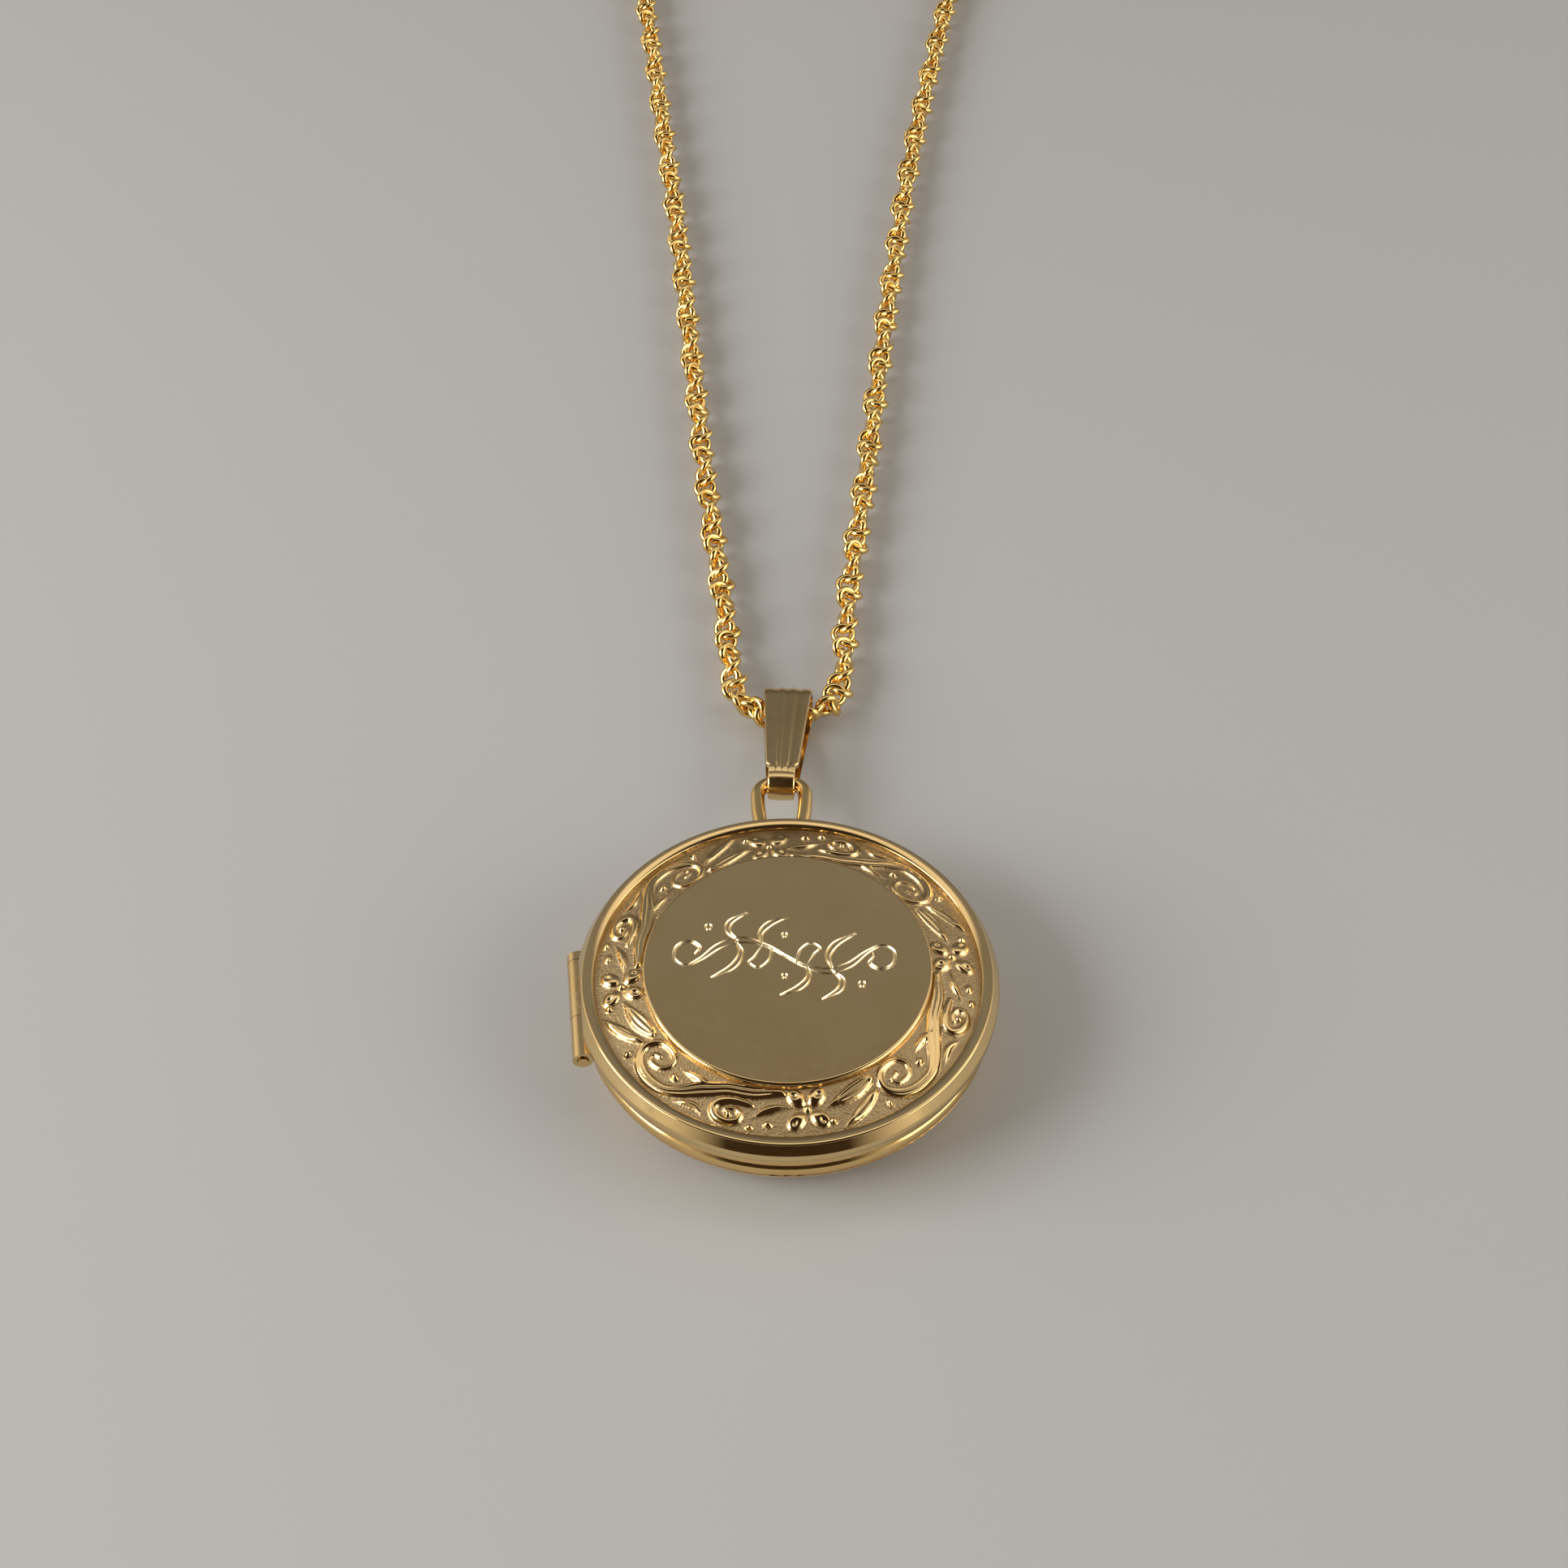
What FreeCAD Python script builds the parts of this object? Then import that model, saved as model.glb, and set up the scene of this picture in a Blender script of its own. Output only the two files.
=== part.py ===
"""Round hinged locket on a fluted bail and a rope chain with a spring-ring clasp.

Millimetres. The locket lies on its back: +Z leaves the engraved face, +Y points
along the chain, and the origin is the centre of the back cover's resting face.
"""

import FreeCAD, Part
import math
import os

os.makedirs("parts", exist_ok=True)

V = FreeCAD.Vector
Y_AXIS = V(0, 1, 0)
Z_AXIS = V(0, 0, 1)

# Locket case
CASE_R = 10.0           # outer radius of the two bezels
BEAD_R = 10.25          # outer radius of the front cover's bead
BACK_R = 9.9            # outer radius of the back half at its rim
FACE_Z = 5.0            # top of the engraved plate
SPLIT_Z = 2.6           # height at which the halves part
SPLIT_GAP = 0.02        # each half stays this far from the split
SHELL = 0.3             # thickness of the stamped covers
PLATE_R = 6.98          # engraved plate at the front
GROUND_R = 9.3          # outer edge of the sunk border
REST_R = 7.6            # flat part of the back cover
BACK_SEAM_Z = 1.85      # where the back cover meets its rim
FRONT_SEAM_Z = 3.35     # where the front cover meets its rim
RIM_BORE_R = 9.05       # holds a photo, its window and its frame
LEDGE_R = 8.5           # ledge under each photo
LIP_R = 9.24            # snap lip of the back rim
LIP_TOP_Z = 3.05
LIP_BORE_R = 9.3        # the front rim closes over the lip

# Photo stack in each half
PHOTO_T = 0.1
WINDOW_T = 0.2
FRAME_T = 0.25
STACK_R = 8.95
FRAME_R = 9.02
FRAME_BORE_R = 8.2
BACK_LEDGE_Z = 1.95
FRONT_LEDGE_Z = 3.5

# Cover hinge, built on the -X side and then turned with the case pattern
HINGE_TURN = 6.0        # degrees about +Z
HINGE_X = -10.1
FLAT_X = -9.55          # flat cut across both halves behind the knuckles
BEAD_FLAT_X = -10.0     # flat on the bead, which overhangs the knuckles
KNUCKLE_R = 0.5
PIN_R = 0.26
PIN_BORE_R = 0.29
KNUCKLE_ENDS = (-2.87, -0.48, 2.95, 3.45)
KNUCKLE_GAP = 0.03
WEB_HEIGHT = 0.5
PIN_STICKS_OUT = 0.08

# Loop soldered to the back rim
LOOP_X = -0.3
LOOP_BAR_Y = 14.3       # axis on which the bail swings
LOOP_TOP_Y = 14.35      # middle of the wire at the top
LOOP_Z = 2.23
LOOP_WIRE_R = 0.38
LOOP_HALF_WIDTH = 1.26
LOOP_CORNER_R = 0.95
LOOP_LEG_R = 10.5       # the legs curve in towards the rim
LOOP_FOOT_Y = 9.6

# Bail, a folded strip around the loop's bar and the chain
BAIL_LEAN = 3.0         # degrees the bail leans towards +X
BAIL_T = 0.22
BAIL_EYE_R = 0.62       # inside radius around the loop's bar
FOLD_Y = 20.35
FOLD_Z = 1.37
FOLD_R = 1.05           # inside radius around the chain
BAIL_TOP_HALF = 1.36
BAIL_LEAF_HALF = 0.86   # where the leaf begins
BAIL_NECK_HALF = 0.7    # around the loop, between its legs
BAIL_NECK_UP = 0.56     # from the loop's axis to the top of the neck
BAIL_FLARE = 0.12
BAIL_SEAM = 0.08

# Chain and its coils
CHAIN_D = 1.5
CHAIN_Z = 0.85
COIL_R = 8.25           # middle of the turns
COIL_TURNS = 2
COIL_TOP_Z = CHAIN_Z + COIL_TURNS * CHAIN_D
STRAND_LEFT = (
    (0.0, 20.25, 1.35), (-1.7, 20.25, 1.35), (-2.75, 21.7, 1.05), (-3.2, 24.5, 0.85),
    (-3.45, 28.0, 0.85), (-4.05, 33.0, 0.85), (-4.95, 41.0, 0.85), (-6.25, 54.5, 0.85),
    (-7.2, 65.5, 0.85), (-8.7, 78.0, 0.85), (-10.0, 90.5, 0.85), (-11.2, 99.6, 0.85),
    (-13.4, 104.2, 0.85), (-16.1, 107.3, 0.85), (-16.35, 112.0, 0.85),
)
STRAND_RIGHT = (
    (0.0, 20.25, 1.35), (1.7, 20.25, 1.35), (2.85, 21.8, 1.05), (3.25, 24.6, 0.85),
    (3.35, 28.1, 0.85), (3.85, 33.0, 0.85), (4.85, 41.0, 0.85), (6.25, 54.5, 0.85),
    (7.5, 65.5, 0.85), (9.1, 77.5, 0.85), (11.1, 89.5, 0.85), (12.8, 98.9, 0.85),
    (15.3, 104.0, 0.85), (18.2, 107.2, 0.85), (18.55, 112.0, 0.85),
)
TAIL_LEFT = (
    (-16.35, 112.0, COIL_TOP_Z), (-16.5, 115.6, 3.4), (-15.4, 119.2, 2.3),
    (-12.6, 121.9, 1.3), (-9.8, 123.3, 0.9), (-7.3, 123.9, 1.0), (-5.4, 124.0, 1.2),
)
TAIL_RIGHT = (
    (18.55, 112.0, COIL_TOP_Z), (18.7, 115.6, 3.4), (17.5, 119.2, 2.3),
    (14.6, 121.9, 1.3), (11.6, 123.3, 0.9), (8.8, 123.9, 1.0), (6.5, 124.0, 1.2),
)

# Spring-ring clasp and its tab
CLASP_X = -0.3
CLASP_Y = 124.0
CLASP_Z = 1.2
CLASP_R = 2.2           # middle of the hollow ring
CLASP_TUBE_R = 0.6
CLASP_BORE_R = 0.39
CLASP_GAP = 30.0        # half angle of the mouth
BOLT_R = 0.34
BOLT_TIP = -38.0        # the closed bolt reaches into the far end of the ring
BOLT_TAIL = 100.0
BOLT_TRAVEL = 60.0      # the joint's range
LEVER_AT = 42.0
LEVER_WIDTH = 0.3
LEVER_LENGTH = 1.35
EYE_R = 0.7
EYE_WIRE_R = 0.2
EYE_SOLDER = 0.12       # how far the eye is sunk in the ring's wall
END_RING_R = 0.9
END_RING_WIRE_R = 0.2
TAB_SPAN = 3.0
TAB_R = 1.15
TAB_HOLE_R = 0.7
TAB_T = 0.35
SPRING_R = 0.33
SPRING_BORE_R = 0.2
SPRING_START = 168.0
SPRING_END = 320.0


def lathe(path):
    """Solid of revolution about Z from (r, z) points; a point after "arc" is an arc's middle."""
    edges = []
    start = path[0]
    i = 1
    while i < len(path):
        if path[i] == "arc":
            middle, end = path[i + 1], path[i + 2]
            corners = [V(p[0], 0, p[1]) for p in (start, middle, end)]
            edges.append(Part.Arc(*corners).toShape())
            i += 3
        else:
            end = path[i]
            edges.append(Part.LineSegment(V(start[0], 0, start[1]), V(end[0], 0, end[1])).toShape())
            i += 1
        start = end
    edges.append(Part.LineSegment(V(start[0], 0, start[1]), V(path[0][0], 0, path[0][1])).toShape())
    face = Part.Face(Part.Wire(edges))
    return face.revolve(V(0, 0, 0), Z_AXIS, 360)


def disc(radius, low, high, bore=0.0):
    """Flat disc or washer about Z."""
    shape = Part.makeCylinder(radius, high - low, V(0, 0, low))
    if bore:
        shape = shape.cut(Part.makeCylinder(bore, high - low, V(0, 0, low)))
    return shape


def turned_with_hinge(shape):
    """Turns a shape from the hinge's building position to its place on the case."""
    shape.rotate(V(0, 0, 0), Z_AXIS, HINGE_TURN)
    return shape


def flat_cutter(flat_x=FLAT_X):
    """Block that cuts the flat behind the hinge."""
    block = Part.makeBox(2.0, 12.0, FACE_Z + 1, V(flat_x - 2.0, -6.0, -0.5))
    return turned_with_hinge(block)


def front_cover():
    """Stamped shell: raised plate, sunk border that falls away outwards, and bevelled outer bead."""
    side = CASE_R - SHELL
    shell = lathe([
        (0, FACE_Z), (6.84, FACE_Z), (PLATE_R, FACE_Z - 0.12), (7.02, FACE_Z - 0.34),
        (GROUND_R, FACE_Z - 0.9), (9.4, FACE_Z - 0.72),
        "arc", (9.62, FACE_Z - 0.585), (9.9, FACE_Z - 0.57), (10.19, FACE_Z - 1.07),
        "arc", (10.24, FACE_Z - 1.19), (BEAD_R, FACE_Z - 1.32),
        (10.16, FACE_Z - 1.54), (9.95, FRONT_SEAM_Z), (side, FRONT_SEAM_Z), (side, FACE_Z - 1.05),
        "arc", (9.58, FACE_Z - 0.88), (9.42, FACE_Z - 1.05),
        (9.2, FACE_Z - 1.2), (6.95, FACE_Z - 0.66), (6.75, FACE_Z - SHELL), (0, FACE_Z - SHELL),
    ])
    return shell.cut(flat_cutter(BEAD_FLAT_X))


def front_rim():
    """Bezel soldered inside the front cover; it carries the hinge and closes over the lip."""
    low = SPLIT_Z + SPLIT_GAP
    side = CASE_R - SHELL
    ring = lathe([
        (LIP_BORE_R, low), (9.82, low), "arc", (CASE_R, 2.98), (9.86, FRONT_SEAM_Z),
        (side, FRONT_SEAM_Z), (side, 3.72), (LEDGE_R, 3.72), (LEDGE_R, FRONT_LEDGE_Z),
        (RIM_BORE_R, FRONT_LEDGE_Z), (RIM_BORE_R, 3.12), (LIP_BORE_R, 3.12),
    ])
    return ring.cut(flat_cutter())


def back_rim():
    """Bezel of the back half, with the ledge for the photo and the snap lip."""
    high = SPLIT_Z - SPLIT_GAP
    ring = lathe([
        (LEDGE_R, 1.7), (9.4, 1.7), (BACK_R - SHELL, BACK_SEAM_Z), (BACK_R - 0.05, BACK_SEAM_Z),
        "arc", (BACK_R + 0.08, 2.2), (BACK_R - 0.1, high),
        (LIP_R, high), (LIP_R, 2.84), "arc", (LIP_R + 0.03, 2.9), (LIP_R, 2.96),
        (LIP_R - 0.05, LIP_TOP_Z), (RIM_BORE_R, LIP_TOP_Z), (RIM_BORE_R, BACK_LEDGE_Z),
        (LEDGE_R, BACK_LEDGE_Z),
    ])
    return ring.cut(flat_cutter())


def back_cover():
    """Plain dished shell with the flat face that the locket lies on."""
    shell = lathe([
        (0, 0), (REST_R, 0), "arc", (9.0, 0.6), (BACK_R, BACK_SEAM_Z),
        (BACK_R - SHELL, BACK_SEAM_Z), "arc", (8.76, 0.8), (REST_R - 0.1, SHELL), (0, SHELL),
    ])
    return shell.cut(flat_cutter())


def photo_stack():
    """Photo, window and snap-in frame of each half, by node name."""
    z = BACK_LEDGE_Z
    pieces = {
        "back_photo": disc(STACK_R, z, z + PHOTO_T),
        "back_window": disc(STACK_R, z + PHOTO_T, z + PHOTO_T + WINDOW_T),
        "back_photo_frame": disc(
            FRAME_R, z + PHOTO_T + WINDOW_T, z + PHOTO_T + WINDOW_T + FRAME_T, FRAME_BORE_R),
    }
    z = FRONT_LEDGE_Z
    pieces["front_photo"] = disc(STACK_R, z - PHOTO_T, z)
    pieces["front_window"] = disc(STACK_R, z - PHOTO_T - WINDOW_T, z - PHOTO_T)
    pieces["front_photo_frame"] = disc(
        FRAME_R, z - PHOTO_T - WINDOW_T - FRAME_T, z - PHOTO_T - WINDOW_T, FRAME_BORE_R)
    return pieces


def knuckle(start, end, side):
    """One hinge knuckle with a web to the flat; side is 1 for the front half, -1 for the back."""
    start += KNUCKLE_GAP / 2
    end -= KNUCKLE_GAP / 2
    centre = V(HINGE_X, start, SPLIT_Z)
    tube = Part.makeCylinder(KNUCKLE_R, end - start, centre, Y_AXIS)
    low = SPLIT_Z + SPLIT_GAP if side > 0 else SPLIT_Z - SPLIT_GAP - WEB_HEIGHT
    web = Part.makeBox(FLAT_X - HINGE_X, end - start, WEB_HEIGHT, V(HINGE_X, start, low))
    bore = Part.makeCylinder(PIN_BORE_R, end - start, centre, Y_AXIS)
    return turned_with_hinge(tube.fuse(web).cut(bore).removeSplitter())


def hinge_pin():
    """Straight pin through the three knuckles."""
    start = KNUCKLE_ENDS[0] - PIN_STICKS_OUT
    length = KNUCKLE_ENDS[-1] - KNUCKLE_ENDS[0] + 2 * PIN_STICKS_OUT
    return turned_with_hinge(Part.makeCylinder(PIN_R, length, V(HINGE_X, start, SPLIT_Z), Y_AXIS))


def pipe(wire, radius):
    """Round section swept along a wire, from its first point."""
    edge = wire.Edges[0]
    start = edge.valueAt(edge.FirstParameter)
    heading = edge.tangentAt(edge.FirstParameter)
    ring = Part.Wire(Part.Circle(start, heading, radius).toShape())
    return wire.makePipeShell([ring], True, False)


def top_loop():
    """Bent wire loop whose legs curve in to their feet in the back rim."""
    side = LOOP_HALF_WIDTH
    bar = side - LOOP_CORNER_R
    shoulder = LOOP_TOP_Y - LOOP_CORNER_R
    bow = LOOP_CORNER_R * math.sqrt(0.5)

    def at(x, y):
        return V(LOOP_X + x, y, LOOP_Z)

    def leg_x(y):
        return side - LOOP_LEG_R + math.sqrt(LOOP_LEG_R ** 2 - (shoulder - y) ** 2)

    knee = (LOOP_FOOT_Y + shoulder) / 2
    left_foot, right_foot = (at(s * leg_x(LOOP_FOOT_Y), LOOP_FOOT_Y) for s in (-1, 1))
    wire = Part.Wire([
        Part.Arc(left_foot, at(-leg_x(knee), knee), at(-side, shoulder)).toShape(),
        Part.Arc(at(-side, shoulder), at(-bar - bow, shoulder + bow), at(-bar, LOOP_TOP_Y)).toShape(),
        Part.LineSegment(at(-bar, LOOP_TOP_Y), at(bar, LOOP_TOP_Y)).toShape(),
        Part.Arc(at(bar, LOOP_TOP_Y), at(bar + bow, shoulder + bow), at(side, shoulder)).toShape(),
        Part.Arc(at(side, shoulder), at(leg_x(knee), knee), right_foot).toShape(),
    ])
    return pipe(wire, LOOP_WIRE_R)


def belt(eye_r, fold_r, half_width):
    """Prism across X of the outline around the loop and the chain."""
    dy = FOLD_Y - LOOP_BAR_Y
    dz = FOLD_Z - LOOP_Z
    span = math.hypot(dy, dz)
    lean = math.atan2(dz, dy)
    open_by = math.acos((eye_r - fold_r) / span)

    def on(y, z, radius, angle):
        return V(LOOP_X - half_width, y + radius * math.cos(angle), z + radius * math.sin(angle))

    up, down = lean + open_by, lean - open_by
    eye = [on(LOOP_BAR_Y, LOOP_Z, eye_r, a) for a in (up, lean + math.pi, down)]
    fold = [on(FOLD_Y, FOLD_Z, fold_r, a) for a in (down, lean, up)]
    wire = Part.Wire([
        Part.Arc(*eye).toShape(),
        Part.LineSegment(eye[2], fold[0]).toShape(),
        Part.Arc(*fold).toShape(),
        Part.LineSegment(fold[2], eye[0]).toShape(),
    ])
    return Part.Face(wire).extrude(V(2 * half_width, 0, 0))


def bail():
    """Tapered strip folded over the chain and pinched round the loop, with a seam at the back."""
    outer = belt(BAIL_EYE_R + BAIL_T, FOLD_R + BAIL_T, BAIL_TOP_HALF)
    inner = belt(BAIL_EYE_R, FOLD_R, BAIL_TOP_HALF + 0.5)
    neck_y = LOOP_BAR_Y + BAIL_NECK_UP
    half_plan = (
        (BAIL_NECK_HALF, LOOP_BAR_Y - 1.0), (BAIL_NECK_HALF, neck_y),
        (BAIL_LEAF_HALF, neck_y + BAIL_FLARE), (BAIL_TOP_HALF, FOLD_Y + FOLD_R + BAIL_T),
    )
    corners = [V(LOOP_X + x, y, -1) for x, y in half_plan]
    corners += [V(LOOP_X - x, y, -1) for x, y in reversed(half_plan)]
    plan = Part.Face(Part.makePolygon(corners + corners[:1])).extrude(V(0, 0, 6))
    seam = Part.makeBox(4.0, BAIL_SEAM, 2.0, V(LOOP_X - 2.0, LOOP_BAR_Y + 0.9, 0.2))
    strip = outer.cut(inner).common(plan).cut(seam)
    strip.rotate(V(LOOP_X, LOOP_BAR_Y, 0), Z_AXIS, -BAIL_LEAN)
    return strip


def rounded_route(points, name):
    """Wire of straight runs joined by tangent arcs as large as the runs allow."""
    spots = [V(*p) for p in points]
    edges = []
    radii = []
    here = spots[0]
    for before, corner, after in zip(spots, spots[1:], spots[2:]):
        way_in = (corner - before).normalize()
        way_out = (after - corner).normalize()
        turn = way_in.getAngle(way_out)
        back = 0.45 * min(corner.distanceToPoint(before), corner.distanceToPoint(after))
        radius = back / math.tan(turn / 2)
        inward = (way_out - way_in).normalize()
        middle = corner + inward * (radius / math.cos(turn / 2) - radius)
        arc_start = corner - way_in * back
        arc_end = corner + way_out * back
        edges.append(Part.LineSegment(here, arc_start).toShape())
        edges.append(Part.Arc(arc_start, middle, arc_end).toShape())
        here = arc_end
        radii.append(radius)
    edges.append(Part.LineSegment(here, spots[-1]).toShape())
    wire = Part.Wire(edges)
    print(name, "length", round(wire.Length, 1), "radii", [round(r, 1) for r in radii])
    return wire


def chain_tube(points, name):
    """Plain tube of the chain's mean width along one stretch."""
    wire = rounded_route(points, name)
    tube = pipe(wire, CHAIN_D / 2)
    ideal = math.pi * CHAIN_D ** 2 / 4 * wire.Length
    print(name, "volume over section times length", round(tube.Volume / ideal, 4))
    return tube


def coil_solid(entry, side):
    """Outer shape of one coil of stacked turns; side is 1 where it lies to the right of its entry."""
    centre = V(entry[0] + side * COIL_R, entry[1], 0)
    height = COIL_TOP_Z + CHAIN_D / 2
    outer = Part.makeCylinder(COIL_R + CHAIN_D / 2, height, centre)
    inner = Part.makeCylinder(COIL_R - CHAIN_D / 2, height, centre)
    return outer.cut(inner)


def torus_arc(radius, start, end):
    """Part of a round bar bent about the clasp's axis, between two angles in degrees."""
    centre = V(CLASP_X, CLASP_Y, CLASP_Z)
    first = math.radians(start)
    at = centre + V(CLASP_R * math.cos(first), CLASP_R * math.sin(first), 0)
    heading = V(-math.sin(first), math.cos(first), 0)
    face = Part.Face(Part.Wire(Part.Circle(at, heading, radius).toShape()))
    return face.revolve(centre, Z_AXIS, end - start)


def sector(start, end, inner, outer, height):
    """Flat slice of a ring about the clasp's axis, centred on its plane."""
    first = math.radians(start)
    low = V(CLASP_X, CLASP_Y, CLASP_Z - height / 2)
    way = V(math.cos(first), math.sin(first), 0)
    corners = [low + way * inner, low + way * outer,
               low + way * outer + Z_AXIS * height, low + way * inner + Z_AXIS * height]
    face = Part.Face(Part.makePolygon(corners + corners[:1]))
    return face.revolve(low, Z_AXIS, end - start)


def clasp_ring():
    """Hollow ring, open at its mouth, with a slot for the lever."""
    start, end = CLASP_GAP, 360 - CLASP_GAP
    ring = torus_arc(CLASP_TUBE_R, start, end).cut(torus_arc(CLASP_BORE_R, start - 1, end + 1))
    slot = sector(LEVER_AT - 6, LEVER_AT + BOLT_TRAVEL + 6, CLASP_R, CLASP_R + 1, LEVER_WIDTH + 0.12)
    return ring.cut(slot)


def clasp_bolt():
    """Curved bolt that closes the mouth, with its thumb lever."""
    half = math.degrees(LEVER_WIDTH / 2 / CLASP_R)
    rod = torus_arc(BOLT_R, BOLT_TIP, BOLT_TAIL)
    lever = sector(LEVER_AT - half, LEVER_AT + half, CLASP_R, CLASP_R + LEVER_LENGTH, LEVER_WIDTH)
    return rod.fuse(lever).removeSplitter()


def clasp_spring():
    """Outer and inner shape of the compression spring, pushed up to its closed length."""
    outer = torus_arc(SPRING_R, SPRING_START, SPRING_END)
    return outer.cut(torus_arc(SPRING_BORE_R, SPRING_START - 1, SPRING_END + 1))


def clasp_tab():
    """Flat two-hole tab on edge; one hole hangs on the bolt, the other on its end ring."""
    near = CLASP_X + CLASP_R
    start = V(near, CLASP_Y - TAB_T / 2, CLASP_Z)
    step = V(TAB_SPAN, 0, 0)
    plate = Part.makeBox(TAB_SPAN, TAB_T, 2 * TAB_R, start - Z_AXIS * TAB_R)
    for hole in (start, start + step):
        plate = plate.fuse(Part.makeCylinder(TAB_R, TAB_T, hole, Y_AXIS))
    for hole in (start, start + step):
        plate = plate.cut(Part.makeCylinder(TAB_HOLE_R, TAB_T, hole, Y_AXIS))
    return plate.removeSplitter()


def clasp_set():
    """The clasp's pieces and the two end rings, by node name."""
    eye_x = CLASP_X - CLASP_R - CLASP_TUBE_R - EYE_R - EYE_WIRE_R + EYE_SOLDER
    tab_x = CLASP_X + CLASP_R + TAB_SPAN
    return {
        "clasp_ring": clasp_ring(),
        "clasp_bolt": clasp_bolt(),
        "clasp_spring": clasp_spring(),
        "clasp_tab": clasp_tab(),
        "clasp_eye": Part.makeTorus(EYE_R, EYE_WIRE_R, V(eye_x, CLASP_Y, CLASP_Z), Z_AXIS),
        "end_ring_left": Part.makeTorus(
            END_RING_R, END_RING_WIRE_R, V(eye_x - END_RING_R, CLASP_Y, CLASP_Z), Y_AXIS),
        "end_ring_right": Part.makeTorus(
            END_RING_R, END_RING_WIRE_R, V(tab_x + END_RING_R, CLASP_Y, CLASP_Z), Z_AXIS),
    }


def all_nodes():
    """Every sub-part, by node name."""
    low, mid_low, mid_high, high = KNUCKLE_ENDS
    nodes = {
        "front_cover": front_cover(),
        "front_rim": front_rim(),
        "back_cover": back_cover(),
        "back_rim": back_rim(),
        "hinge_knuckle_lower": knuckle(low, mid_low, 1),
        "hinge_knuckle_middle": knuckle(mid_low, mid_high, -1),
        "hinge_knuckle_upper": knuckle(mid_high, high, 1),
        "hinge_pin": hinge_pin(),
        "top_loop": top_loop(),
        "bail": bail(),
        "chain_left": chain_tube(STRAND_LEFT, "chain_left"),
        "chain_right": chain_tube(STRAND_RIGHT, "chain_right"),
        "chain_coil_left": coil_solid(STRAND_LEFT[-1], 1),
        "chain_coil_right": coil_solid(STRAND_RIGHT[-1], -1),
        "chain_tail_left": chain_tube(TAIL_LEFT, "chain_tail_left"),
        "chain_tail_right": chain_tube(TAIL_RIGHT, "chain_tail_right"),
    }
    nodes.update(photo_stack())
    nodes.update(clasp_set())
    return nodes


for node, shape in all_nodes().items():
    print(node, shape.ShapeType, "valid", shape.isValid(), "solids", len(shape.Solids),
          "volume", round(shape.Volume, 3))
    shape.exportStep("parts/" + node + ".step")
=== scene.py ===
"""Looks of the round locket on its rope chain. Sizes are named in millimetres and built in metres."""

import math
import random

import bpy
import numpy as np
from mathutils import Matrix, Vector
from mathutils.geometry import delaunay_2d_cdt

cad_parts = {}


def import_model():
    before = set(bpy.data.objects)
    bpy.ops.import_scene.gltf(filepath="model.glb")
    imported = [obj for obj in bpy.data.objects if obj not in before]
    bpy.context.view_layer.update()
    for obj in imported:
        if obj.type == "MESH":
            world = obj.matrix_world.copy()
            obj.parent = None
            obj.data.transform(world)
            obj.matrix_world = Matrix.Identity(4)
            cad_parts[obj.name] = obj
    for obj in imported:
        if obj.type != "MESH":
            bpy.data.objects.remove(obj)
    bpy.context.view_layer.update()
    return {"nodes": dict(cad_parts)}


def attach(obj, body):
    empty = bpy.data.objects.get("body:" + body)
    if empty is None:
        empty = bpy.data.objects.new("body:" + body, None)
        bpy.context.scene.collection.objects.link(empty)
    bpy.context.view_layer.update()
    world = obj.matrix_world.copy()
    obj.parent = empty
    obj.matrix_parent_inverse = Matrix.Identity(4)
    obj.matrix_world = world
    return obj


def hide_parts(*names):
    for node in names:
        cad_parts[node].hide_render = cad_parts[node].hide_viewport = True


MM = 0.001

# Camera, in metres, degrees and millimetres of lens
CAMERA_AT = (-0.00017, -0.07173, 0.09676)
CAMERA_PITCH = 42.3
CAMERA_LENS = 55.54

# Chain route, in metres from the bail's fold outwards
COIL_R = 0.00825
COIL_TURNS = 2
COIL_STEPS = 16         # route points per turn
COIL_LOW_Z = 0.00085
COIL_TOP_Z = 0.00385
STRAND_LEFT = (
    (0.0, 0.02025, 0.00135), (-0.0017, 0.02025, 0.00135), (-0.00275, 0.0217, 0.00105),
    (-0.0032, 0.0245, 0.00085), (-0.00345, 0.028, 0.00085), (-0.00405, 0.033, 0.00085),
    (-0.00495, 0.041, 0.00085), (-0.00625, 0.0545, 0.00085), (-0.0072, 0.0655, 0.00085),
    (-0.0087, 0.078, 0.00085), (-0.01, 0.0905, 0.00085), (-0.0112, 0.0996, 0.00085),
    (-0.0134, 0.1042, 0.00085), (-0.0161, 0.1073, 0.00085),
)
STRAND_RIGHT = (
    (0.0, 0.02025, 0.00135), (0.0017, 0.02025, 0.00135), (0.00285, 0.0218, 0.00105),
    (0.00325, 0.0246, 0.00085), (0.00335, 0.0281, 0.00085), (0.00385, 0.033, 0.00085),
    (0.00485, 0.041, 0.00085), (0.00625, 0.0545, 0.00085), (0.0075, 0.0655, 0.00085),
    (0.0091, 0.0775, 0.00085), (0.0111, 0.0895, 0.00085), (0.0128, 0.0989, 0.00085),
    (0.0153, 0.104, 0.00085), (0.0182, 0.1072, 0.00085),
)
TAIL_LEFT = (
    (-0.0165, 0.1156, 0.0034), (-0.0154, 0.1192, 0.0023), (-0.0126, 0.1219, 0.0013),
    (-0.0098, 0.1233, 0.0009), (-0.0073, 0.1239, 0.001), (-0.0054, 0.124, 0.0012),
)
TAIL_RIGHT = (
    (0.0187, 0.1156, 0.0034), (0.0175, 0.1192, 0.0023), (0.0146, 0.1219, 0.0013),
    (0.0116, 0.1233, 0.0009), (0.0088, 0.1239, 0.001), (0.0065, 0.124, 0.0012),
)
COIL_ENTRY_LEFT = (-0.01635, 0.112)
COIL_ENTRY_RIGHT = (0.01855, 0.112)

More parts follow.
